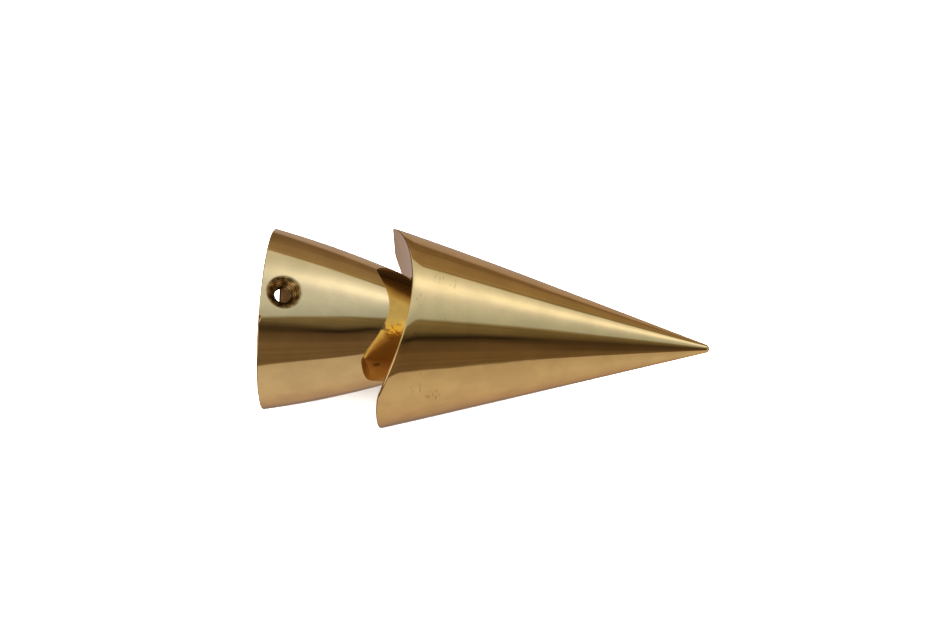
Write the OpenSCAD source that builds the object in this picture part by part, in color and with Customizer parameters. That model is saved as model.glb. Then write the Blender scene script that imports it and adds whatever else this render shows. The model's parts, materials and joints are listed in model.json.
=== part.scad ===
// Pole finial in the shape of an arrow: a tapered ferrule with a pole socket, and a
// saddle-backed conical arrowhead that screws onto the ferrule's neck on a stud.
// The pole axis is +X, from the centre of the socket's mouth towards the tip.
// The arrowhead's two barbs point sideways, along +Y and -Y.

/* [Ferrule] */
// Outside diameter at the ferrule's mouth
mouth_d = 48.2; // [47:0.1:52]
// Slope of the ferrule's side at the mouth, radius lost per length
ferrule_taper = 0.2136; // [0.18:0.001:0.225]
// How much the slope grows towards the neck, per length squared
ferrule_bulge = 0.00206; // [0.0015:0.00001:0.0021]
// Where the neck ends, inside the arrowhead
neck_end = 42; // [41:0.5:43]
// Radius of the rounded rim at the mouth
rim_round = 0.6; // [0.3:0.1:1]

/* [Socket] */
// Diameter of the bore that takes the pole
socket_d = 38.2; // [36:0.1:39]
// Depth of the bore that takes the pole
socket_depth = 12; // [10:0.5:13]
// Lead-in chamfer at the bore's mouth
lead_in = 0.6; // [0.2:0.1:0.8]
// Diameter of the tapered cavity where it leaves the socket
cavity_d = 34.4; // [30:0.1:35]
// Diameter of the cavity's floor
cavity_floor_d = 22.4; // [22:0.1:23]
// Thickness of the wall between the cavity and the end of the neck
end_wall = 11; // [9:0.5:12]

/* [Fixing screw hole] */
// Diameter of the hole for the pole's fixing screw
screw_hole_d = 4.2; // [3:0.1:5]
// Diameter of the countersink's mouth
countersink_d = 8.6; // [7:0.1:10]
// Distance from the socket's mouth to the countersink's centre
screw_hole_x = 5.95; // [5.5:0.05:8]
// Angle round the ferrule from the top towards -Y
screw_hole_clock = 5.5; // [-20:0.5:20]

/* [Arrowhead] */
// Where the bottom of the saddle lies along the axis
saddle_x = 38.6; // [38:0.1:40]
// Radius of the cylindrical saddle across the base
saddle_r = 44; // [40:0.5:60]
// Where the blunt ends of the barbs lie along the axis
barb_x = 30.8; // [29:0.1:33]
// Slope of the arrowhead's cone, radius lost per length
cone_slope = 0.307; // [0.29:0.001:0.32]
// Where the sides of the cone would meet
apex_x = 119.4; // [110:0.1:130]
// Radius of the rounded tip
tip_r = 1.2; // [0.5:0.1:2]
// Gap between the neck and the seat bored for it in the arrowhead
seat_gap = 0.1; // [0.05:0.01:0.2]

/* [Stud, nut and washers] */
// Diameter of the stud
stud_d = 10; // [8:0.5:10]
// Length of the stud that stands out of the neck
stud_reach = 16.4; // [12:0.1:20]
// Gap round the stud in every hole that it passes through
stud_gap = 0.05; // [0.02:0.01:0.1]
// Width of the nut across its flats
nut_width = 17; // [15:0.5:17]
// Height of the nut
nut_h = 8; // [6:0.5:8]
// Outside diameter of the flat washer under the nut
nut_washer_d = 20; // [18:0.5:21]
// Thickness of the flat washer under the nut
nut_washer_t = 2; // [1:0.1:2]
// Outside diameter of the split lock washer
lock_washer_d = 18.1; // [16:0.1:19]
// Thickness of the split lock washer
lock_washer_t = 2.2; // [1.5:0.1:2.2]
// Outside diameter of the washer between the neck and the arrowhead
seat_washer_d = 20.8; // [18:0.1:21]
// Thickness of the washer between the neck and the arrowhead
seat_washer_t = 1; // [0.5:0.1:1.5]

/* [Hidden] */
$fn = 96;

brass = "goldenrod";
old_brass = "darkgoldenrod";
steel = "silver";

margin = 1;
bands = 20;
arc_steps = 6;

mouth_r = mouth_d / 2;
socket_r = socket_d / 2;
taper_angle = atan(ferrule_taper);
cone_angle = atan(cone_slope);
cavity_end = neck_end - end_wall;
seat_floor = neck_end + seat_washer_t;
tip_centre_x = apex_x - tip_r / sin(cone_angle);
stud_hole_r = stud_d / 2 + stud_gap;
stud_end = neck_end + stud_reach;
stud_chamfer = 0.8;
drill_end = stud_end + 2;
drill_point = stud_hole_r / tan(59);
lock_washer_x = cavity_end - nut_washer_t - lock_washer_t;
nut_x = lock_washer_x - nut_h;
stud_start = nut_x - 2;

// Radius of the ferrule's outside at a distance x from its mouth
function ferrule_r(x) = mouth_r - ferrule_taper * x - ferrule_bulge * x * x;

// The ferrule's side from x0 to x1 as [radius, x] points, moved out by a gap
function ferrule_side(x0, x1, gap = 0) = [
    for (i = [0 : bands])
        let (x = x0 + (x1 - x0) * i / bands)
        [ferrule_r(x) + gap, x]
];

// Rounded rim, from the flat of the mouth to the tapered side
function rim_arc() = let (
    centre_r = mouth_r - ferrule_taper * rim_round - rim_round / cos(taper_angle)
) [
    for (i = [0 : arc_steps - 1])
        let (a = 180 - (90 + taper_angle) * i / arc_steps)
        [centre_r + rim_round * sin(a), rim_round + rim_round * cos(a)]
];

// Turns an upright shape so that its +Z lies along the pole axis
module along_axis(x = 0) {
    translate([x, 0, 0])
        rotate([0, 90, 0])
            children();
}

module turned(outline) {
    along_axis()
        rotate_extrude()
            polygon(outline);
}

// Ring with a hole for the stud, from x on towards the tip
module ring(x, d, t) {
    along_axis(x)
        difference() {
            cylinder(h = t, d = d);
            translate([0, 0, -margin])
                cylinder(h = t + 2 * margin, r = stud_hole_r);
        }
}

module socket_and_cavity() {
    along_axis(-margin)
        cylinder(h = socket_depth + margin, r = socket_r);
    along_axis(-margin)
        cylinder(h = lead_in + margin, r1 = socket_r + lead_in + margin, r2 = socket_r);
    along_axis(socket_depth - margin / 10)
        cylinder(
            h = cavity_end - socket_depth + margin / 10,
            r1 = cavity_d / 2,
            r2 = cavity_floor_d / 2
        );
    along_axis(cavity_end - margin)
        cylinder(h = end_wall + 2 * margin, r = stud_hole_r);
}

// Countersunk hole, square to the ferrule's tapered side
module fixing_screw_hole() {
    sink_depth = (countersink_d - screw_hole_d) / 2;
    side_angle = atan(ferrule_taper + 2 * ferrule_bulge * screw_hole_x);
    rotate([screw_hole_clock, 0, 0])
        translate([screw_hole_x, 0, ferrule_r(screw_hole_x)])
            rotate([0, side_angle, 0]) {
                translate([0, 0, -socket_r / 2])
                    cylinder(h = socket_r, d = screw_hole_d);
                translate([0, 0, -sink_depth])
                    cylinder(
                        h = sink_depth + margin,
                        d1 = screw_hole_d,
                        d2 = countersink_d + 2 * margin
                    );
            }
}

module ferrule() {
    outline = concat(rim_arc(), ferrule_side(rim_round, neck_end), [[0, neck_end], [0, 0]]);
    color(brass)
        difference() {
            turned(outline);
            socket_and_cavity();
            fixing_screw_hole();
        }
}

// Solid cone with a rounded tip, from the barbs' blunt ends on
module cone_blank() {
    tangent_x = tip_centre_x + tip_r * sin(cone_angle);
    along_axis(barb_x)
        cylinder(
            h = tangent_x - barb_x,
            r1 = cone_slope * (apex_x - barb_x),
            r2 = tip_r * cos(cone_angle)
        );
    translate([tip_centre_x, 0, 0])
        sphere(r = tip_r);
}

// Tapered seat for the neck, as deep as the washer on the neck's end
module neck_seat() {
    outline = concat(
        ferrule_side(saddle_x - 8, neck_end, seat_gap),
        [
            [ferrule_r(neck_end) + seat_gap, seat_floor],
            [0, seat_floor],
            [0, saddle_x - 8]
        ]
    );
    turned(outline);
}

module arrowhead() {
    color(brass)
        difference() {
            cone_blank();
            translate([saddle_x - saddle_r, 0, 0])
                cylinder(h = 4 * mouth_r, r = saddle_r, center = true, $fn = 180);
            neck_seat();
            along_axis(seat_floor - margin)
                cylinder(h = drill_end - seat_floor + margin, r = stud_hole_r);
            along_axis(drill_end)
                cylinder(h = drill_point, r1 = stud_hole_r, r2 = 0);
        }
}

module stud() {
    r = stud_d / 2;
    color(old_brass)
        turned([
            [0, stud_start],
            [r - stud_chamfer, stud_start],
            [r, stud_start + stud_chamfer],
            [r, stud_end - stud_chamfer],
            [r - stud_chamfer, stud_end],
            [0, stud_end]
        ]);
}

// Hexagon with both faces turned down at the corners
module stud_nut() {
    corner_r = nut_width / 2 / cos(30);
    chamfer = corner_r - nut_width / 2;
    color(old_brass)
        along_axis(nut_x)
            difference() {
                intersection() {
                    cylinder(h = nut_h, r = corner_r, $fn = 6);
                    union() {
                        cylinder(h = chamfer / 2, r1 = nut_width / 2, r2 = corner_r);
                        translate([0, 0, chamfer / 2])
                            cylinder(h = nut_h - chamfer, r = corner_r);
                        translate([0, 0, nut_h - chamfer / 2])
                            cylinder(h = chamfer / 2, r1 = corner_r, r2 = nut_width / 2);
                    }
                }
                translate([0, 0, -margin])
                    cylinder(h = nut_h + 2 * margin, r = stud_hole_r);
            }
}

// Split ring, clamped flat
module lock_washer() {
    split = 1;
    color(steel)
        difference() {
            ring(lock_washer_x, lock_washer_d, lock_washer_t);
            translate([lock_washer_x + lock_washer_t / 2, 0, lock_washer_d / 2])
                rotate([25, 0, 0])
                    cube([2 * lock_washer_t, split, lock_washer_d], center = true);
        }
}

module nut_washer() {
    color(old_brass)
        ring(cavity_end - nut_washer_t, nut_washer_d, nut_washer_t);
}

module seat_washer() {
    color(old_brass)
        ring(neck_end, seat_washer_d, seat_washer_t);
}

ferrule();
arrowhead();
stud();
stud_nut();
lock_washer();
nut_washer();
seat_washer();
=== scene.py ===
"""Looks of a polished brass pole finial in the shape of an arrow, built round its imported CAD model."""

import json
import math

import bpy
import numpy as np
from mathutils import Matrix, Vector


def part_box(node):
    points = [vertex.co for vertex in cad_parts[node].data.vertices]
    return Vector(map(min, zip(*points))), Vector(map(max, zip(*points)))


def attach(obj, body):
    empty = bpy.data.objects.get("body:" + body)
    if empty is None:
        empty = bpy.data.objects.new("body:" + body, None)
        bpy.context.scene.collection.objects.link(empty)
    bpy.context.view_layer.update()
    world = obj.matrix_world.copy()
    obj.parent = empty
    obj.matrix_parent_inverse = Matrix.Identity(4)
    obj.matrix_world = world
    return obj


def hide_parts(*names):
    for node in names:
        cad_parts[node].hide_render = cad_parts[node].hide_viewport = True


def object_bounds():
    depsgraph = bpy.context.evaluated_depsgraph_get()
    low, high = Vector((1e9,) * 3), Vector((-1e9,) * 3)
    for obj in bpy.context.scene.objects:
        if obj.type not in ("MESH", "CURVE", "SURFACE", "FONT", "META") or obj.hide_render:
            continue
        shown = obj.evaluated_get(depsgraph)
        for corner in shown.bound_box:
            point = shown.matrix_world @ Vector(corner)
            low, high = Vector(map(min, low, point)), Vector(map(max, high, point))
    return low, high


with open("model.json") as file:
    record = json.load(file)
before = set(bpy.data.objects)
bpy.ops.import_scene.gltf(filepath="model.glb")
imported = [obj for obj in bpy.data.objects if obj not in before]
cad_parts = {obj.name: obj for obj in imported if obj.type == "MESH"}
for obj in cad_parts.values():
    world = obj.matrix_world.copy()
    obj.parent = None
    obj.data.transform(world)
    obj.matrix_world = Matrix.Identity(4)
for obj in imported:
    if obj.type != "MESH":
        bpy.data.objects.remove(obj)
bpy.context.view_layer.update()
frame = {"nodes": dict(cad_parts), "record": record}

# ---------------------------------------------------------------- design values, in metres
mm = 0.001
mounts = {m["name"]: m for m in frame["record"]["mounts"]}

# Ferrule
mouth_r = 24.1 * mm
taper = 0.2136
bulge = 0.00206 / mm
rim_round = 0.3 * mm
neck_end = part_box("ferrule")[1].x
neck_round = 0.4 * mm
socket_r = mounts["pole_socket"]["dims"]["r_mm"] * mm
lead_in = mounts["pole_socket"]["pos_m"][0]
socket_depth = lead_in + mounts["pole_socket"]["dims"]["length_mm"] * mm
cavity_r = 17.2 * mm
cavity_floor_r = 11.2 * mm
cavity_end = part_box("nut_washer")[1].x

# Fixing screw hole, square to the ferrule's side
hole_r = mounts["fixing_screw_hole"]["dims"]["r_mm"] * mm
hole_axis = np.array(mounts["fixing_screw_hole"]["axis"])
hole_point = np.array(mounts["fixing_screw_hole"]["pos_m"])
countersink_r = 4.3 * mm
hole_edge_round = 0.35 * mm
hole_edge_wear = 0.85 * mm

# Arrowhead, buffed so that its side rolls over a little towards the saddle's edge
saddle_x = 38.6 * mm
saddle_r = 44 * mm
barb_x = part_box("arrowhead")[0].x
cone_slope = 0.307
cone_angle = math.atan(cone_slope)
tip_r = 1.2 * mm
apex_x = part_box("arrowhead")[1].x + tip_r * (1 / math.sin(cone_angle) - 1)
seat_gap = 0.1 * mm
seat_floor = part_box("seat_washer")[1].x
roll_length = 3.6 * mm
roll_angle = math.radians(6.5)
worn_from = 70 * mm
wear = 0.5 * mm
edge_round = 0.36 * mm
barb_round = 0.7 * mm
seat_edge_round = 0.12 * mm

# Stud and the holes that it screws into
stud_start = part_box("stud")[0].x
stud_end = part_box("stud")[1].x
stud_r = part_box("stud")[1].y
stud_hole_r = stud_r + 0.05 * mm
drill_end = stud_end + 2 * mm
drill_half_angle = math.radians(59)
drill_point = stud_hole_r / math.tan(drill_half_angle)
pitch = 1.5 * mm
thread_depth = 0.78 * mm
stud_chamfer = 0.8 * mm
stud_lead = 0.8 * mm

# Columns of faces round the two turned pieces, and round the stud
AROUND = 288
STEP = 2 * math.pi / AROUND
STUD_AROUND = 96


# ---------------------------------------------------------------- camera
def make_camera():
    azimuth = math.radians(6.15)
    elevation = math.radians(65.6)
    roll = math.radians(1.72)
    distance = 662.5 * mm
    aim_right = 51.2 * mm
    aim_up = 2.5 * mm
    level = Vector((math.cos(azimuth), math.sin(azimuth), 0))
    flat = math.cos(elevation)
    back = Vector((math.sin(azimuth) * flat, -math.cos(azimuth) * flat, math.sin(elevation)))
    right = math.cos(roll) * level - math.sin(roll) * back.cross(level)
    up = back.cross(right)
    data = bpy.data.cameras.new("camera")
    data.lens = 97.3
    data.sensor_width = 36
    data.clip_start = 0.01
    data.clip_end = 50
    camera = bpy.data.objects.new("camera", data)
    bpy.context.scene.collection.objects.link(camera)
    place = aim_right * right + aim_up * up + distance * back
    camera.matrix_world = Matrix.Translation(place) @ Matrix((right, up, back)).transposed().to_4x4()
    bpy.context.scene.camera = camera


make_camera()


# ---------------------------------------------------------------- surfaces of revolution
POLISHED, MACHINED, COUNTERSUNK = range(3)


class Skin:
    """A mesh put together from grids of points that share rings, with a normal at every face corner."""

    def __init__(self):
        self.points = []
        self.faces = []
        self.normals = []
        self.finishes = []

    def ring(self, points):
        """Adds a ring of points, or a single point where they all meet on the axis."""
        start = len(self.points)
        if np.ptp(points, axis=0).max() < 1e-9:
            self.points.append(points[0])
            return np.full(len(points), start)
        self.points.extend(points)
        return np.arange(start, start + len(points))

    def band(self, rings, normals, finish=POLISHED, keep=None):
        """Faces between neighbouring rings. keep, where given, says which columns of a row to fill."""
        count = len(rings[0])
        for i in range(len(rings) - 1):
            for j in range(count):
                if keep is not None and not keep(i, j):
                    continue
                k = (j + 1) % count
                corners = (
                    (rings[i][j], normals[i][j]),
                    (rings[i + 1][j], normals[i + 1][j]),
                    (rings[i + 1][k], normals[i + 1][k]),
                    (rings[i][k], normals[i][k]),
                )
                seen = []
                for point, normal in corners:
                    if point not in [p for p, _ in seen]:
                        seen.append((point, normal))
                if len(seen) > 2:
                    self.faces.append([int(p) for p, _ in seen])
                    self.finishes.append(finish)
                    self.normals.extend(n for _, n in seen)

    def build(self, name):
        mesh = bpy.data.meshes.new(name)
        mesh.from_pydata([tuple(map(float, p)) for p in self.points], [], self.faces)
        mesh.polygons.foreach_set("material_index", self.finishes)
        mesh.shade_smooth()
        mesh.normals_split_custom_set([tuple(map(float, n)) for n in self.normals])
        made = bpy.data.objects.new(name, mesh)
        bpy.context.scene.collection.objects.link(made)
        return made


def unit(vectors):
    length = np.linalg.norm(vectors, axis=-1, keepdims=True)
    return vectors / np.maximum(length, 1e-12)


def sampled(surface, steps, angles):
    """Points and normals of surface(u, angles) at the steps of u from 0 to 1."""
    nudge = 1e-4
    points = [surface(u, angles) for u in steps]
    normals = []
    for u in steps:
        middle = min(max(u, 3 * nudge), 1 - 3 * nudge)
        along = surface(middle + nudge, angles) - surface(middle - nudge, angles)
        around = surface(middle, angles + nudge) - surface(middle, angles - nudge)
        normals.append(unit(np.cross(along, around)))
    return points, normals


def strip(skin, surface, steps, angles, finish, first=None, last=None):
    """Adds one patch, from the ring first to the ring last where they exist. Returns its last ring."""
    points, normals = sampled(surface, np.linspace(0, 1, steps + 1), angles)
    rings = [skin.ring(points[0]) if first is None else first]
    rings += [skin.ring(p) for p in points[1:-1]]
    rings.append(skin.ring(points[-1]) if last is None else last)
    skin.band(rings, normals, finish)
    return rings[-1]


def sweep(skin, patches, angles, last=None):
    """Joins patches (surface, number of steps, finish) end to end into one skin."""
    for surface, steps, finish in patches:
        last = strip(skin, surface, steps, angles, finish, last)
    return last


def turned(x, r, angles):
    """Points at x along the axis and r from it, each a number or one value per angle."""
    x = np.broadcast_to(x, angles.shape)
    r = np.broadcast_to(r, angles.shape)
    return np.stack([x, r * np.cos(angles), r * np.sin(angles)], axis=-1)


def straight(x0, r0, x1, r1):
    return lambda u, a: turned(x0 + (x1 - x0) * u, r0 + (r1 - r0) * u, a)


def curve(start, bend, end):
    """Rounds the corner at the ring bend, between two rings that are equally far from it."""

    def surface(u, a):
        first, middle, last = start(a), bend(a), end(a)
        opening = np.sum(unit(first - middle) * unit(last - middle), axis=-1, keepdims=True)
        pull = 2 * u * (1 - u) * np.sqrt((1 - opening) / 2)
        total = (1 - u) ** 2 + pull + u * u
        return ((1 - u) ** 2 * first + pull * middle + u * u * last) / total

    return surface


def thread(x, angles, outer_r):
    """Radius of a right-hand thread with its crests at outer_r, rounded at crest and root."""
    turn = x / pitch - angles / (2 * math.pi)
    wave = np.abs(2 * (turn - np.floor(turn)) - 1)
    return outer_r - thread_depth * np.clip(1.25 * wave - 0.125, 0, 1)


def ferrule_r(x):
    """Radius of the ferrule's outside."""
    return mouth_r - taper * x - bulge * x * x


def ferrule_slope(x):
    return -taper - 2 * bulge * x


# ---------------------------------------------------------------- arrowhead
tip_centre = apex_x - tip_r / math.sin(cone_angle)
tip_tangent = tip_centre + tip_r * math.sin(cone_angle)


def cone_r(x, a):
    """Radius of the side. It has been polished down a little towards its base, most on +Y."""
    past = np.clip((worn_from - x) / (worn_from - saddle_x), 0, None)
    return cone_slope * (apex_x - x) - wear * past**2 * (0.5 + 0.5 * np.cos(a))


def saddle_depth(y):
    """Where the saddle lies along the axis, at a distance y to the side."""
    return saddle_x - saddle_r + np.sqrt(saddle_r**2 - y**2)


def saddle_point(r, a):
    return turned(saddle_depth(r * np.cos(a)), r, a)


def meet_saddle(radius_at, a):
    """Where a turned surface with radius_at(x) meets the saddle, as x for each angle."""
    x = np.full(a.shape, saddle_x)
    for _ in range(60):
        x = 0.5 * (x + saddle_depth(radius_at(x) * np.cos(a)))
    return x


def base_x(a):
    """Where the rolled-over side ends, at the saddle or at the blunt end of a barb."""
    drop = math.tan(roll_angle) * roll_length / 3
    return np.maximum(meet_saddle(lambda x: cone_r(x, a) - drop, a), barb_x)


def side_r(x, a):
    """Radius of the side, which rolls over near its base."""
    short = np.clip(roll_length - (x - base_x(a)), 0, None)
    return cone_r(x, a) - math.tan(roll_angle) * short**3 / (3 * roll_length**2)


def edge_radius(a):
    """The edge is rounder towards -Y, where it has been rubbed more, and most so on the barb."""
    rubbed = np.clip(-np.cos(a), 0, None) ** 4
    return edge_round * (1 - 0.45 * np.cos(a)) + barb_round * rubbed


def outside(x, r, a):
    """Distance outside the base's side, blunt end and saddle, with the edges between them rounded."""
    saddle_centre = saddle_x - saddle_r
    radius = edge_radius(a)
    faces = (
        (r - side_r(x, a)) * math.cos(cone_angle),
        barb_x - x,
        saddle_r - np.hypot(x - saddle_centre, r * np.cos(a)),
    )
    return np.sqrt(sum(np.clip(f + radius, 0, None) ** 2 for f in faces)) - radius


def base_outline(a):
    """Four corners of the base's outline as x and r per angle: side, two edges, saddle."""
    reach = 2.5 * edge_radius(a)
    end_x = base_x(a)
    blunt_y = math.sqrt(saddle_r**2 - (barb_x - saddle_x + saddle_r) ** 2)
    edge_r = side_r(end_x, a)
    inner_r = np.minimum(edge_r, blunt_y / np.maximum(np.abs(np.cos(a)), 0.1))
    last_r = inner_r - reach
    last_x = saddle_depth(last_r * np.cos(a))
    xs = np.stack([end_x + reach, end_x, end_x, last_x])
    rs = np.stack([side_r(end_x + reach, a), edge_r, inner_r, last_r])
    return xs, rs


def base_edge(u, a):
    """From the side round the edges onto the saddle: the outline, drawn in until it is on the surface."""
    xs, rs = base_outline(a)
    lengths = np.hypot(np.diff(xs, axis=0), np.diff(rs, axis=0))
    along = u * lengths.sum(axis=0)
    x, r = xs[0], rs[0]
    for i, length in enumerate(lengths):
        share = np.clip(along / np.maximum(length, 1e-12), 0, 1)
        x = x + share * (xs[i + 1] - xs[i])
        r = r + share * (rs[i + 1] - rs[i])
        along = along - length
    # A point well inside, and by halving, how far the surface is from it on the way to the outline
    inside_x = xs[1] + 1.0 * mm
    inside_r = rs[1] - 0.8 * mm
    low, high = np.full(a.shape, 0.3), np.full(a.shape, 1.1)
    for _ in range(46):
        middle = 0.5 * (low + high)
        too_far = outside(inside_x + middle * (x - inside_x), inside_r + middle * (r - inside_r), a) > 0
        low = np.where(too_far, low, middle)
        high = np.where(too_far, middle, high)
    return turned(inside_x + low * (x - inside_x), inside_r + low * (r - inside_r), a)


def seat_r(x):
    """Radius of the seat that takes the ferrule's neck."""
    return ferrule_r(x) + seat_gap


def seat_edge(a, into_seat=0.0, onto_saddle=0.0):
    """The edge between seat and saddle, or the ring a little way from it on either."""
    x = meet_saddle(seat_r, a)
    if onto_saddle:
        return saddle_point(seat_r(x) + onto_saddle, a)
    x = x + into_seat
    return turned(x, seat_r(x), a)


def cone_side(u, a):
    x_low = base_outline(a)[0][0]
    x = tip_tangent + (x_low - tip_tangent) * u**0.6
    return turned(x, side_r(x, a), a)


def saddle_face(u, a):
    outer = base_outline(a)[1][3]
    inner = seat_r(meet_saddle(seat_r, a)) + seat_edge_round
    return saddle_point(outer + (inner - outer) * u, a)


def seat_wall(u, a):
    x_low = meet_saddle(seat_r, a) + seat_edge_round
    x = x_low + (neck_end - x_low) * u
    return turned(x, seat_r(x), a)


def tip_cap(u, a):
    """The rounded tip."""
    t = (math.pi / 2 - cone_angle) * u
    return turned(tip_centre + tip_r * math.cos(t), tip_r * math.sin(t), a)


def threaded_hole(u, a):
    """The hole for the stud. Its thread fades in over one pitch."""
    x = seat_floor + stud_lead + (drill_end - seat_floor - stud_lead) * u
    fade = np.clip((x - seat_floor - stud_lead) / pitch, 0, 1)
    crest = thread(x, a + math.pi, stud_hole_r)
    return turned(x, stud_hole_r + fade * (crest - stud_hole_r), a)


def make_arrowhead():
    seat_end_r = seat_r(neck_end)
    mouth_of_hole = stud_hole_r + stud_lead
    lead_end = seat_floor + stud_lead
    seat_rounding = curve(
        lambda a: seat_edge(a, onto_saddle=seat_edge_round),
        seat_edge,
        lambda a: seat_edge(a, into_seat=seat_edge_round),
    )
    patches = [
        (tip_cap, 10, POLISHED),
        (cone_side, 70, POLISHED),
        (base_edge, 26, POLISHED),
        (saddle_face, 30, POLISHED),
        (seat_rounding, 4, MACHINED),
        (seat_wall, 12, MACHINED),
        (straight(neck_end, seat_end_r, seat_floor, seat_end_r), 2, MACHINED),
        (straight(seat_floor, seat_end_r, seat_floor, mouth_of_hole), 4, MACHINED),
        (straight(seat_floor, mouth_of_hole, lead_end, stud_hole_r), 2, MACHINED),
        (threaded_hole, 140, MACHINED),
        (straight(drill_end, stud_hole_r, drill_end + drill_point, 0), 4, MACHINED),
    ]
    skin = Skin()
    sweep(skin, patches, np.arange(AROUND) * STEP)
    return skin.build("arrowhead_polished")


# ---------------------------------------------------------------- ferrule
side_angle = math.atan(taper)
rim_r = mouth_r - taper * rim_round - rim_round / math.cos(side_angle)
sink_depth = countersink_r - hole_r
throat_round = 0.15 * mm


def ferrule_normals(points):
    r = np.hypot(points[..., 1], points[..., 2])
    slope = ferrule_slope(points[..., 0])
    return unit(np.stack([-slope, points[..., 1] / r, points[..., 2] / r], axis=-1))


def bore_normals(points):
    inward = -points.copy()
    inward[..., 0] = 0
    return unit(inward)


def rim(u, a):
    t = math.pi / 2 - side_angle + (math.pi / 2 + side_angle) * u
    return turned(rim_round + rim_round * math.cos(t), rim_r + rim_round * math.sin(t), a)


def circle(rho, t):
    return np.stack([rho * np.cos(t), rho * np.sin(t)], axis=-1)


def worn_round(t):
    """How far the rounding of the screw hole's mouth reaches. It is worn most towards +Y."""
    return hole_edge_round + (hole_edge_wear - hole_edge_round) * (0.5 + 0.5 * np.sin(t))


class CutOut:
    """The rows and columns of faces that are left out of a surface round the screw hole."""

    half = 11

    def __init__(self, rings_x, low_x, high_x):
        self.rows = [i for i, x in enumerate(rings_x) if low_x - 1e-9 <= x <= high_x + 1e-9]

    def keep(self, i, j):
        in_rows = self.rows[0] <= i < self.rows[-1]
        in_columns = j < self.half or j >= AROUND - self.half
        return not (in_rows and in_columns)

    def border(self, skin, rings):
        """Clockwise seen from outside, from the corner at low x and low angle."""
        rings_rise = skin.points[rings[-1][0]][0] > skin.points[rings[0][0]][0]
        rows = self.rows if rings_rise else self.rows[::-1]
        loop = [(i, -self.half) for i in rows[:-1]]
        loop += [(rows[-1], j) for j in range(-self.half, self.half)]
        loop += [(i, self.half) for i in rows[:0:-1]]
        loop += [(rows[0], j) for j in range(self.half, -self.half, -1)]
        return np.array([rings[i][j % AROUND] for i, j in loop])


class ScrewHole:
    """The countersunk hole. Its places are rho and the angle t round its axis, and a height along it."""

    def __init__(self):
        depth = 0.0
        for _ in range(40):
            point = hole_point + depth * hole_axis
            depth -= math.hypot(point[1], point[2]) - ferrule_r(point[0])
        self.centre = hole_point + depth * hole_axis
        self.right = unit(np.array([1.0, 0, 0]) - hole_axis[0] * hole_axis)
        self.up = np.cross(hole_axis, self.right)

    def flat(self, points):
        """Points as seen along the hole's axis, in two directions square to it."""
        offset = points - self.centre
        return np.stack([offset @ self.right, offset @ self.up], axis=-1)

    def over(self, pq, height):
        """The opposite of flat: the points at pq across the axis and a height along it."""
        height = np.broadcast_to(height, len(pq))[:, None]
        return self.centre + pq[:, :1] * self.right + pq[:, 1:] * self.up + height * hole_axis

    def onto(self, pq, radius_at, slope_at, start):
        """The points over pq on the surface with radius_at(x), and their heights."""
        height = np.full(len(pq), start)
        for _ in range(12):
            p = self.over(pq, height)
            r = np.hypot(p[:, 1], p[:, 2])
            miss = r - radius_at(p[:, 0])
            rate = p[:, 1:] @ hole_axis[1:] / r
            height = height - miss / (rate - slope_at(p[:, 0]) * hole_axis[0])
        return self.over(pq, height), height

    def onto_side(self, pq):
        return self.onto(pq, ferrule_r, ferrule_slope, 0.0)

    def onto_bore(self, pq):
        return self.onto(pq, lambda x: socket_r + 0 * x, lambda x: 0 * x, socket_r - mouth_r)

    def edge(self, t):
        """Where the countersink meets the ferrule's side."""
        rho = np.full(t.shape, countersink_r)
        for _ in range(30):
            rho = 0.5 * (rho + countersink_r + self.onto_side(circle(rho, t))[1])
        return rho

    def on_side(self, t, out=0.0):
        return self.onto_side(circle(self.edge(t) + out, t))[0]

    def on_cone(self, t, inward=0.0):
        rho = self.edge(t) - inward
        return self.over(circle(rho, t), rho - countersink_r)

    def on_wall(self, t, height):
        return self.over(circle(np.full(t.shape, hole_r), t), height)

    def cone(self, u, t):
        top = self.edge(t) - worn_round(t)
        rho = top + (hole_r + throat_round - top) * u
        return self.over(circle(rho, t), rho - countersink_r)

    def drilled(self, u, t):
        top = -sink_depth - throat_round
        bottom = self.onto_bore(circle(np.full(t.shape, hole_r), t))[1]
        return self.on_wall(t, top + (bottom - top) * u)

    def throat(self, t):
        rho = np.full(t.shape, hole_r + throat_round)
        return self.over(circle(rho, t), throat_round - sink_depth)

    def patches(self):
        """From the rounded mouth down to the bore, drawn over minus t, because t runs clockwise."""
        mouth = curve(
            lambda t: self.on_side(t, worn_round(t)),
            self.on_side,
            lambda t: self.on_cone(t, worn_round(t)),
        )
        throat = curve(
            self.throat,
            lambda t: self.on_wall(t, -sink_depth),
            lambda t: self.on_wall(t, -sink_depth - throat_round),
        )
        steps = ((mouth, 6), (self.cone, 8), (throat, 3), (self.drilled, 4))
        return [(lambda u, a, f=f: f(u, -a), count, COUNTERSUNK) for f, count in steps]


def ferrule_outside(skin, angles, hole):
    """The side, from the neck to the rim, without the cut-out."""
    low_x, high_x = hole.centre[0] - 4.95 * mm, hole.centre[0] + 5.05 * mm
    rows = np.concatenate(
        [
            np.linspace(neck_end - neck_round, high_x, 64),
            np.linspace(high_x, low_x, 2 * CutOut.half + 1)[1:],
            [rim_round],
        ]
    )
    cut_out = CutOut(rows, low_x, high_x)
    points = [turned(x, ferrule_r(x), angles) for x in rows]
    rings = [skin.ring(p) for p in points]
    skin.band(rings, [ferrule_normals(p) for p in points], keep=cut_out.keep)
    return rings, cut_out.border(skin, rings)


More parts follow.
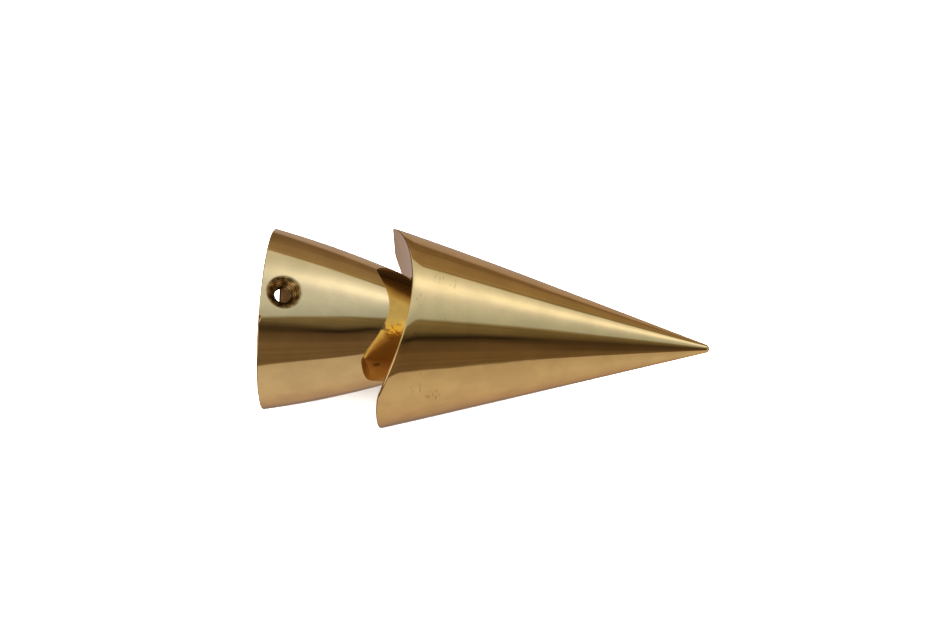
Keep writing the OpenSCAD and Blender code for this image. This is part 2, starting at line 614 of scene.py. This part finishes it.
def ferrule_bore(skin, angles, rim_ring):
    """The rim, the flat mouth and the bore that takes the pole, without the cut-out."""
    low_x, high_x = lead_in + 0.4 * mm, lead_in + 9 * mm
    rows = np.concatenate(
        [[lead_in], np.linspace(low_x, high_x, 2 * CutOut.half + 1), [socket_depth]]
    )
    cut_out = CutOut(rows, low_x, high_x)
    points = [turned(x, socket_r, angles) for x in rows]
    mouth_inner = socket_r + lead_in
    mouth = [
        (rim, 8, POLISHED),
        (straight(0, rim_r, 0, mouth_inner), 3, POLISHED),
        (straight(0, mouth_inner, lead_in, socket_r), 2, MACHINED),
    ]
    rings = [sweep(skin, mouth, angles, rim_ring)]
    rings += [skin.ring(p) for p in points[1:]]
    skin.band(rings, [bore_normals(p) for p in points], MACHINED, cut_out.keep)
    return rings, cut_out.border(skin, rings)


def ferrule_inside(skin, angles, first, last):
    """From the end of the bore through the cavity and the stud's hole to the neck's rounded end."""
    face_r = ferrule_r(neck_end) - neck_round
    inside = [
        (straight(socket_depth, socket_r, socket_depth, cavity_r), 2, MACHINED),
        (straight(socket_depth, cavity_r, cavity_end, cavity_floor_r), 16, MACHINED),
        (straight(cavity_end, cavity_floor_r, cavity_end, stud_hole_r), 6, MACHINED),
        (straight(cavity_end, stud_hole_r, neck_end, stud_hole_r), 4, MACHINED),
        (straight(neck_end, stud_hole_r, neck_end, face_r), 4, MACHINED),
    ]
    neck_rounding = curve(
        lambda a: turned(neck_end, face_r, a),
        lambda a: turned(neck_end, ferrule_r(neck_end), a),
        lambda a: turned(neck_end - neck_round, ferrule_r(neck_end - neck_round), a),
    )
    strip(skin, neck_rounding, 5, angles, POLISHED, sweep(skin, inside, angles, first), last)


def hole_through(skin, hole, outer_border, bore_border):
    """From the outer cut-out's border down the screw hole to the bore's."""
    outer = np.array([skin.points[i] for i in outer_border])
    inner = np.array([skin.points[i] for i in bore_border])
    outer_pq, inner_pq = hole.flat(outer), hole.flat(inner)
    count = len(outer_border)
    first_turn = math.atan2(outer_pq[0][1], outer_pq[0][0])
    turns = first_turn - np.arange(count) * 2 * math.pi / count

    edge_pq = circle(hole.edge(turns) + worn_round(turns), turns)
    points = [outer]
    for share in np.linspace(0, 1, 10)[1:]:
        points.append(hole.onto_side(outer_pq + (edge_pq - outer_pq) * share)[0])
    rings = [outer_border] + [skin.ring(p) for p in points[1:]]
    skin.band(rings, [ferrule_normals(p) for p in points])

    last = sweep(skin, hole.patches(), -turns, rings[-1])
    exit_pq = circle(np.full(count, hole_r), turns)
    points = [np.array([skin.points[i] for i in last])]
    for share in np.linspace(0, 1, 7)[1:-1]:
        points.append(hole.onto_bore(exit_pq + (inner_pq - exit_pq) * share)[0])
    rings = [last] + [skin.ring(p) for p in points[1:]] + [bore_border]
    skin.band(rings, [bore_normals(p) for p in points + [inner]], MACHINED)


def make_ferrule():
    angles = math.atan2(hole_axis[2], hole_axis[1]) + np.arange(AROUND) * STEP
    hole = ScrewHole()
    skin = Skin()
    outer_rings, outer_border = ferrule_outside(skin, angles, hole)
    bore_rings, bore_border = ferrule_bore(skin, angles, outer_rings[-1])
    ferrule_inside(skin, angles, bore_rings[-1], outer_rings[0])
    hole_through(skin, hole, outer_border, bore_border)
    return skin.build("ferrule_polished")


# ---------------------------------------------------------------- stud
def make_stud():
    def body(u, a):
        x = stud_end - (stud_end - stud_start) * u
        r = thread(x, a, stud_r)
        from_end = np.minimum(stud_end - x, x - stud_start)
        return turned(x, np.minimum(r, stud_r - stud_chamfer + from_end), a)

    flat_r = stud_r - stud_chamfer
    patches = [
        (straight(stud_end, 0, stud_end, flat_r), 3, POLISHED),
        (body, 330, POLISHED),
        (straight(stud_start, flat_r, stud_start, 0), 3, POLISHED),
    ]
    skin = Skin()
    sweep(skin, patches, np.arange(STUD_AROUND) * 2 * math.pi / STUD_AROUND)
    return skin.build("stud_threaded")


# ---------------------------------------------------------------- materials
class Nodes:
    """Short ways to add shader nodes to one tree."""

    def __init__(self, tree):
        self.tree = tree
        tree.nodes.clear()

    def add(self, kind, **values):
        node = self.tree.nodes.new(kind)
        for key, value in values.items():
            setattr(node, key, value)
        return node

    def link(self, value, socket):
        if isinstance(value, bpy.types.NodeSocket):
            self.tree.links.new(value, socket)
        else:
            socket.default_value = value

    def split(self, vector):
        node = self.add("ShaderNodeSeparateXYZ")
        self.link(vector, node.inputs[0])
        return node.outputs

    def joined(self, x, y, z):
        node = self.add("ShaderNodeCombineXYZ")
        for value, socket in zip((x, y, z), node.inputs):
            self.link(value, socket)
        return node.outputs[0]

    def vector(self, operation, a, b, output="Vector"):
        node = self.add("ShaderNodeVectorMath", operation=operation)
        self.link(a, node.inputs[0])
        self.link(b, node.inputs[1])
        return node.outputs[output]

    def scaled(self, vector, factors):
        return self.vector("MULTIPLY", vector, factors)

    def noise(self, vector, scale, detail):
        node = self.add("ShaderNodeTexNoise")
        self.link(vector, node.inputs["Vector"])
        node.inputs["Scale"].default_value = scale
        node.inputs["Detail"].default_value = detail
        return node.outputs[0]

    def math(self, operation, a, b=0.0):
        node = self.add("ShaderNodeMath", operation=operation)
        self.link(a, node.inputs[0])
        self.link(b, node.inputs[1])
        return node.outputs[0]

    def ramp(self, value, stops):
        """Colour by value, from (place, colour) pairs."""
        node = self.add("ShaderNodeValToRGB")
        self.link(value, node.inputs[0])
        elements = node.color_ramp.elements
        while len(elements) < len(stops):
            elements.new(0.5)
        for element, (place, colour) in zip(elements, sorted(stops)):
            element.position = place
            element.color = (*colour, 1)
        return node.outputs[0]

    def mix(self, share, a, b):
        node = self.add("ShaderNodeMix", data_type="RGBA")
        self.link(share, node.inputs[0])
        self.link(a, node.inputs[6])
        self.link(b, node.inputs[7])
        return node.outputs[2]

    def step(self, value, low, high):
        """0 where value is short of low, 1 past high, and smooth between. low may be above high."""
        node = self.add("ShaderNodeMapRange", interpolation_type="SMOOTHSTEP")
        self.link(value, node.inputs[0])
        node.inputs[1].default_value = low
        node.inputs[2].default_value = high
        return node.outputs[0]


class Metal:
    """A metal's node tree, with the coordinates that its marks follow, in millimetres."""

    def __init__(self, name):
        self.material = bpy.data.materials.new(name)
        self.material.use_nodes = True
        self.n = Nodes(self.material.node_tree)
        n = self.n
        self.place = n.add("ShaderNodeTexCoord").outputs["Object"]
        self.x, self.y, self.z = n.split(n.scaled(self.place, (1000, 1000, 1000)))
        self.turn = n.math("ARCTAN2", self.z, self.y)
        self.shader = n.add("ShaderNodeBsdfPrincipled")
        self.shader.inputs["Metallic"].default_value = 1
        out = n.add("ShaderNodeOutputMaterial")
        n.link(self.shader.outputs[0], out.inputs[0])

    def marks(self, per_mm_along, per_mm_around, radius=20.0, detail=2.0):
        """Noise from 0 to 1 that is stretched along or round the pole axis."""
        n = self.n
        along = n.math("MULTIPLY", self.x, per_mm_along)
        across = n.math("MULTIPLY", n.math("SINE", self.turn), radius * per_mm_around)
        up = n.math("MULTIPLY", n.math("COSINE", self.turn), radius * per_mm_around)
        return n.noise(n.joined(along, across, up), 1.0, detail)

    def spot(self, centre, inner, outer, shrink_along=1.0):
        """1 within inner of a place and 0 beyond outer, in millimetres. It may be stretched along X."""
        n = self.n
        offset = n.vector("SUBTRACT", n.scaled(self.place, (1000, 1000, 1000)), centre)
        distance = n.vector("LENGTH", n.scaled(offset, (shrink_along, 1, 1)), (0, 0, 0), "Value")
        return n.step(distance, outer, inner)

    def finish(self, colour, roughness, height=None, depth=0.001):
        """Links the finish's sockets. depth is the height that a bump of 1 stands for, in mm."""
        n = self.n
        n.link(colour, self.shader.inputs["Base Color"])
        n.link(roughness, self.shader.inputs["Roughness"])
        if height is not None:
            bump = n.add("ShaderNodeBump")
            bump.inputs["Distance"].default_value = depth * mm
            n.link(height, bump.inputs["Height"])
            n.link(bump.outputs[0], self.shader.inputs["Normal"])
        return self.material


def polished_brass(name, colour, flaws):
    """Mirror finish with slow waves and polishing marks. flaws(metal) gives stains and a painted dark
    reflection, wax and a height.
    """
    metal = Metal(name)
    n = metal.n
    waves = n.noise(metal.place, 90, 1)
    marks = metal.marks(5, 0.2, detail=3)
    patches = n.noise(metal.place, 160, 3)
    stain_and_painted_dark, wax, height = flaws(metal)
    dark = tuple(0.92 * c for c in colour) + (1,)
    light = tuple(min(1.04 * c, 1) for c in colour) + (1,)
    clean = n.mix(n.step(patches, 0.3, 0.7), dark, light)
    waxed = n.mix(wax, clean, (0.96, 0.68, 0.20, 1))
    # Stains, and the painted dark reflection on the rim, take this dark colour.
    shown = n.mix(stain_and_painted_dark, waxed, (0.30, 0.15, 0.05, 1))
    roughness = n.math("ADD", n.math("MULTIPLY", marks, 0.06), 0.03)
    roughness = n.math("ADD", roughness, n.math("MULTIPLY", stain_and_painted_dark, 0.25))
    height = n.math("ADD", height, n.math("MULTIPLY", marks, 0.012))
    return metal.finish(shown, roughness, n.math("ADD", height, waves), 0.03)


def pits_near_base(metal):
    """Faint short ticks in the casting: clusters at x in mm and degrees round from +Y, and a few strays."""
    n = metal.n
    clusters = (
        (37.5, 50, 1.8),
        (39.5, 66, 1.2),
        (41, 95, 2.2),
        (45.5, 77, 2.2),
        (49, 80, 1.6),
        (41.5, 153, 2.5),
        (45.5, 162, 3),
        (34, 164, 1),
    )
    ticks = metal.marks(2.4, 0.7, detail=0)
    near_edge = n.math("MULTIPLY", n.step(metal.x, 39, 41), n.step(metal.x, 58, 45))
    marks = n.math("MULTIPLY", n.step(ticks, 0.80, 0.88), near_edge)
    for x, degrees, size in clusters:
        turn = math.radians(degrees)
        r = cone_slope * (apex_x / mm - x)
        cluster = metal.spot((x, r * math.cos(turn), r * math.sin(turn)), 0.4 * size, size)
        marks = n.math("MAXIMUM", marks, n.math("MULTIPLY", n.step(ticks, 0.52, 0.76), cluster))
    return n.math("MULTIPLY", marks, 0.34), 0.0, n.math("MULTIPLY", marks, -0.25)


def wear_and_painted_dark_round_neck(metal):
    """A dent in the mouth's rim with a painted dark reflection on it, a scratch on the neck, and wax that
    has dried beside the saddle.
    """
    n = metal.n
    # Painted reflection: the nick's dark colour stands in for a dark reflection on the rim's rounding, and
    # only its dent is shape.
    nick_and_painted_dark = metal.spot((0.1, -9.4, 22.1), 0.6, 1.4, 2)
    scratch = metal.spot((30.2, -14.0, 7.2), 0.2, 0.9, 0.5)
    wax = metal.spot((34.3, -6.6, 12.8), 0.5, 2.8, 0.8)
    crumbs = n.noise(metal.place, 650, 2)
    folds = n.math("MULTIPLY", n.math("MULTIPLY", wax, crumbs), 5.0)
    stain_and_painted_dark = n.math("MAXIMUM", nick_and_painted_dark, n.math("MULTIPLY", scratch, 0.8))
    stain_and_painted_dark = n.math("MAXIMUM", stain_and_painted_dark, n.math("MULTIPLY", wax, n.step(crumbs, 0.56, 0.64)))
    return stain_and_painted_dark, wax, n.math("SUBTRACT", folds, n.math("MULTIPLY", nick_and_painted_dark, 6.0))


def machined_brass(name, colour, tarnish):
    """As it came off the lathe: fine rings from the tool, dulled in patches."""
    metal = Metal(name)
    n = metal.n
    rings = metal.marks(9, 0.05)
    patches = n.noise(metal.place, 260, 4)
    shown = n.mix(n.step(patches, 0.35, 0.7), (*colour, 1), (*tarnish, 1))
    roughness = n.math("ADD", n.math("MULTIPLY", patches, 0.25), 0.2)
    return metal.finish(shown, roughness, rings, 0.02)


def countersunk_brass(name):
    """The screw hole's wall, painted dark for the shade down inside the hole, with the cutter's rings round
    the hole's axis.
    """
    metal = Metal(name)
    n = metal.n
    offset = n.vector("SUBTRACT", metal.place, Vector(hole_point))
    off_axis = n.vector("CROSS_PRODUCT", offset, Vector(hole_axis))
    rho = n.math("MULTIPLY", n.vector("LENGTH", off_axis, (0, 0, 0), "Value"), 1000)
    patches = n.noise(metal.place, 700, 3)
    wobble = n.math("MULTIPLY", patches, 2.5)
    rings = n.math("SINE", n.math("ADD", n.math("MULTIPLY", rho, 2 * math.pi / 0.45), wobble))
    worn = n.step(n.math("ADD", n.math("MULTIPLY", rings, 0.08), patches), 0.42, 0.72)
    # Painted shade: the wall's dark colour stands in for the shade inside the hole, while the mouth's rim
    # keeps the bright brass.
    shown = n.mix(worn, (0.15, 0.085, 0.03, 1), (0.64, 0.45, 0.20, 1))
    rim = n.step(rho, 4.0, 5.0)
    shown = n.mix(rim, shown, (0.88, 0.72, 0.43, 1))
    roughness = n.math("ADD", n.math("MULTIPLY", patches, 0.2), 0.2)
    roughness = n.math("SUBTRACT", roughness, n.math("MULTIPLY", rim, 0.2))
    height = n.math("ADD", n.math("MULTIPLY", rings, 0.4), patches)
    return metal.finish(shown, roughness, height, 0.02)


def spring_steel(name):
    """Plain stainless with a fine brushed grain."""
    metal = Metal(name)
    n = metal.n
    grain = metal.marks(1, 3, detail=4)
    shown = n.mix(grain, (0.50, 0.50, 0.49, 1), (0.66, 0.66, 0.65, 1))
    return metal.finish(shown, n.math("ADD", n.math("MULTIPLY", grain, 0.2), 0.2), grain, 0.01)


ferrule_brass = polished_brass("ferrule_brass", (0.89, 0.73, 0.43), wear_and_painted_dark_round_neck)
arrowhead_brass = polished_brass("arrowhead_brass", (0.88, 0.69, 0.36), pits_near_base)
# Painted shade: both colours are far darker than brass, standing in for the shade inside the bore, the
# cavity, the seat and the stud's hole.
bore_brass = machined_brass("bore_brass", (0.26, 0.15, 0.07), (0.17, 0.095, 0.042))
hardware_brass = machined_brass("hardware_brass", (0.74, 0.56, 0.29), (0.52, 0.37, 0.18))
hole_brass = countersunk_brass("hole_brass")
washer_steel = spring_steel("spring_steel")

# ---------------------------------------------------------------- pieces
def place(piece, body, node, slot, materials):
    """Puts a piece on its body in place of its CAD node."""
    for material in materials:
        piece.data.materials.append(material)
    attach(piece, body)
    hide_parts(node)


place(make_arrowhead(), "arrowhead", "arrowhead", "polished_brass", [arrowhead_brass, bore_brass])
place(make_ferrule(), "ferrule", "ferrule", "polished_brass", [ferrule_brass, bore_brass, hole_brass])
place(make_stud(), "ferrule", "stud", "hardware_brass", [hardware_brass])

for node, material in (
    ("stud_nut", hardware_brass),
    ("nut_washer", hardware_brass),
    ("seat_washer", hardware_brass),
    ("lock_washer", washer_steel),
):
    kept = frame["nodes"][node]
    kept.data.materials.clear()
    kept.data.materials.append(material)
    edges = kept.modifiers.new("eased_edges", "BEVEL")
    edges.width = 0.15 * mm
    edges.segments = 2
    edges.limit_method = "ANGLE"


# ---------------------------------------------------------------- stage
# Colours of the studio by direction, turned about the X axis: front 0, overhead 90, back 180 degrees
# The dim room, as the cone's middle, the wide end and the tip mirror it
ROOM = (
    (-180, (0.205, 0.13, 0.063)),
    (-165, (0.155, 0.09, 0.04)),
    (0, (0.15, 0.095, 0.045)),
    (30, (0.145, 0.088, 0.043)),
    (39, (0.115, 0.07, 0.035)),
    (45, (0.092, 0.056, 0.028)),
    (48.5, (0.07, 0.043, 0.022)),
    (51, (0.045, 0.028, 0.015)),
    (52.5, (0.017, 0.011, 0.006)),
    (54, (0.025, 0.017, 0.009)),
    (56, (0.055, 0.039, 0.021)),
    (59, (0.10, 0.073, 0.038)),
    (62, (0.142, 0.104, 0.054)),
    (70, (0.165, 0.124, 0.063)),
    (80, (0.24, 0.19, 0.10)),
    (150, (0.24, 0.19, 0.10)),
    (163, (0.26, 0.17, 0.083)),
    (176, (0.225, 0.145, 0.072)),
)
ROOM_AT_MOUTH = (
    (-180, (0.26, 0.165, 0.085)),
    (-165, (0.175, 0.105, 0.05)),
    (0, (0.16, 0.10, 0.048)),
    (30, (0.16, 0.10, 0.05)),
    (42, (0.13, 0.08, 0.04)),
    (50, (0.07, 0.042, 0.021)),
    (54, (0.05, 0.031, 0.016)),
    (57, (0.06, 0.039, 0.02)),
    (60, (0.10, 0.07, 0.036)),
    (64, (0.155, 0.115, 0.06)),
    (80, (0.24, 0.19, 0.10)),
    (150, (0.24, 0.19, 0.10)),
    (163, (0.32, 0.215, 0.105)),
    (176, (0.285, 0.185, 0.095)),
)
ROOM_AT_TIP = (
    (-165, (0.155, 0.09, 0.04)),
    (24, (0.15, 0.09, 0.045)),
    (33, (0.10, 0.06, 0.03)),
    (42, (0.08, 0.048, 0.024)),
    (62, (0.065, 0.04, 0.02)),
    (67, (0.09, 0.06, 0.03)),
    (74, (0.125, 0.092, 0.046)),
    (88, (0.24, 0.19, 0.10)),
    (150, (0.24, 0.19, 0.10)),
    (163, (0.26, 0.17, 0.083)),
)

# The pale panel overhead, and the stretch of it that is lit more strongly
PANEL = (
    (60, (0.50, 0.49, 0.38)),
    (78, (0.55, 0.56, 0.47)),
    (90, (0.59, 0.61, 0.57)),
    (104, (0.62, 0.65, 0.64)),
    (146, (0.64, 0.63, 0.57)),
    (163, (0.60, 0.56, 0.46)),
)
LIT_PANEL = (
    (104, (0.62, 0.65, 0.64)),
    (113, (0.68, 0.69, 0.70)),
    (120, (0.86, 0.84, 0.85)),
    (126, (1.08, 1.08, 1.06)),
    (133, (1.16, 1.12, 1.06)),
    (140, (0.92, 0.90, 0.86)),
    (146, (0.75, 0.74, 0.70)),
    (154, (0.63, 0.60, 0.52)),
)

# The warm ground, and what stands beyond the socket's mouth
GROUND = (
    (-160, (0.41, 0.28, 0.21)),
    (-140, (0.41, 0.31, 0.26)),
    (-108, (0.375, 0.28, 0.25)),
    (-98, (0.28, 0.21, 0.20)),
    (-90, (0.28, 0.20, 0.15)),
    (-80, (0.42, 0.28, 0.20)),
    (-64, (0.50, 0.355, 0.25)),
    (-48, (0.555, 0.425, 0.305)),
    (-24, (0.575, 0.455, 0.335)),
    (-5, (0.53, 0.42, 0.30)),
    (10, (0.49, 0.38, 0.27)),
)
MOUTH_SIDE = (
    (-170, (0.03, 0.015, 0.008)),
    (-125, (0.05, 0.03, 0.02)),
    (-105, (0.20, 0.12, 0.08)),
    (-85, (0.33, 0.18, 0.08)),
    (-60, (0.22, 0.11, 0.05)),
    (-30, (0.15, 0.065, 0.02)),
    (40, (0.15, 0.075, 0.025)),
    (60, (0.18, 0.09, 0.03)),
    (71, (0.42, 0.25, 0.12)),
    (79, (0.85, 0.75, 0.42)),
    (87, (0.88, 0.80, 0.45)),
    (95, (0.65, 0.64, 0.50)),
    (121, (0.65, 0.60, 0.45)),
    (130, (0.45, 0.36, 0.20)),
    (140, (0.28, 0.18, 0.09)),
    (148, (0.10, 0.055, 0.028)),
    (165, (0.05, 0.025, 0.012)),
)

LAMP_TOWARDS = (-0.38, -0.76, 0.53)
LAMP_COLOUR = (1.15, 1.0, 0.85, 1)
BACKDROP = (0.95, 0.95, 0.94, 1)


class Studio:
    """Nodes that give a colour for each direction, towards x, y and z."""

    def __init__(self, tree):
        self.n = Nodes(tree)
        n = self.n
        self.x, self.y, self.z = n.split(n.add("ShaderNodeTexCoord").outputs["Generated"])
        self.front = n.math("MULTIPLY", self.y, -1.0)
        self.to_tip = n.math("MAXIMUM", self.x, 0.0)
        self.turn = n.math("DEGREES", n.math("ARCTAN2", self.z, self.front))

    def by_turn(self, stops, turn=None):
        """The colour for the angle round the X axis, from pairs of degrees and colour."""
        place = self.n.math("DIVIDE", self.turn if turn is None else turn, 360.0)
        place = self.n.math("ADD", place, 0.5)
        return self.n.ramp(place, [(angle / 360 + 0.5, colour) for angle, colour in stops])

    def above(self, climb, level, width):
        """1 where the direction is above a plane that climbs towards the tip."""
        n = self.n
        height = n.math("SUBTRACT", self.z, n.math("MULTIPLY", self.to_tip, climb))
        return n.step(n.math("SUBTRACT", height, level), -width, width)

    def room(self):
        """Its dark line sits higher towards the tip, and spreads there."""
        n = self.n
        rise = n.math("MULTIPLY", n.step(self.x, 0.47, 0.54), 7.0)
        middle = self.by_turn(ROOM, n.math("SUBTRACT", self.turn, rise))
        shown = n.mix(n.step(self.x, 0.46, 0.36), middle, self.by_turn(ROOM_AT_MOUTH))
        shown = n.mix(n.step(self.x, 0.53, 0.56), shown, self.by_turn(ROOM_AT_TIP))
        streaks = n.noise(n.joined(n.math("MULTIPLY", self.turn, 0.25), self.x, 0.0), 1.0, 3)
        streaks = n.math("ADD", n.math("MULTIPLY", streaks, 0.9), 0.55)
        return n.scaled(shown, n.joined(streaks, streaks, streaks))

    def room_with_panel(self):
        """The panel leans over the front, and dims towards its lower edge."""
        n = self.n
        lean = n.math("MULTIPLY", self.to_tip, -0.645)
        lean = n.math("ADD", lean, n.math("MULTIPLY", self.front, -0.604))
        lean = n.math("ADD", lean, n.math("MULTIPLY", self.z, 0.468))
        falloff = n.math("ADD", n.math("MULTIPLY", n.step(lean, -0.01, 0.33), 0.31), 0.69)
        panel = n.mix(n.step(self.x, 0.15, 0.36), self.by_turn(PANEL), self.by_turn(LIT_PANEL))
        panel = n.scaled(panel, n.joined(falloff, falloff, falloff))
        inside = n.math("MULTIPLY", n.step(lean, -0.025, 0.03), self.above(0.57, 0.192, 0.01))
        return n.mix(inside, self.room(), panel)

    def off_ground(self):
        """1 above the ground's edge, which dips a little in front of the cone's middle."""
        n = self.n
        middle = n.math("MULTIPLY", n.step(self.x, 0.30, 0.42), n.step(self.x, 0.51, 0.46))
        edge = n.math("SUBTRACT", -0.105, n.math("MULTIPLY", middle, 0.045))
        back = n.step(self.front, 0.1, -0.1)
        return n.mix(back, self.above(0.67, edge, 0.018), self.above(1.09, -0.507, 0.05))

    def colour(self):
        n = self.n
        shown = n.mix(self.off_ground(), self.by_turn(GROUND), self.room_with_panel())
        shown = n.mix(n.step(self.x, -0.42, -0.55), shown, self.by_turn(MOUTH_SIDE))
        from_lamp = n.vector("DISTANCE", n.joined(self.x, self.y, self.z), LAMP_TOWARDS, "Value")
        return n.mix(n.step(from_lamp, 0.42, 0.30), shown, LAMP_COLOUR)


def make_world():
    """What the metal mirrors. The camera itself sees a plain backdrop."""
    world = bpy.data.worlds.new("studio")
    bpy.context.scene.world = world
    world.use_nodes = True
    studio = Studio(world.node_tree)
    n = studio.n
    by_camera = n.add("ShaderNodeLightPath").outputs["Is Camera Ray"]
    background = n.add("ShaderNodeBackground")
    n.link(n.mix(by_camera, studio.colour(), BACKDROP), background.inputs[0])
    out = n.add("ShaderNodeOutputWorld")
    n.link(background.outputs[0], out.inputs[0])


def make_floor():
    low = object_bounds()[0].z
    half = 3.0
    mesh = bpy.data.meshes.new("floor")
    corners = [(-half, -half, low), (half, -half, low), (half, half, low), (-half, half, low)]
    mesh.from_pydata(corners, [], [(0, 1, 2, 3)])
    floor = bpy.data.objects.new("floor", mesh)
    bpy.context.scene.collection.objects.link(floor)
    material = bpy.data.materials.new("pale_floor")
    material.use_nodes = True
    n = Nodes(material.node_tree)
    pale = n.add("ShaderNodeBsdfDiffuse")
    pale.inputs[0].default_value = (0.9, 0.895, 0.89, 1)
    out = n.add("ShaderNodeOutputMaterial")
    n.link(pale.outputs[0], out.inputs[0])
    mesh.materials.append(material)
    floor.visible_glossy = False


def make_light():
    """Wide soft light from above that whitens the floor. The metal mirrors only the studio round it."""
    data = bpy.data.lights.new("overhead", "SUN")
    data.energy = 14
    data.angle = math.radians(120)
    light = bpy.data.objects.new("overhead", data)
    light.visible_glossy = False
    bpy.context.scene.collection.objects.link(light)


make_light()
make_world()
make_floor()
bpy.context.scene.view_settings.view_transform = "Standard"
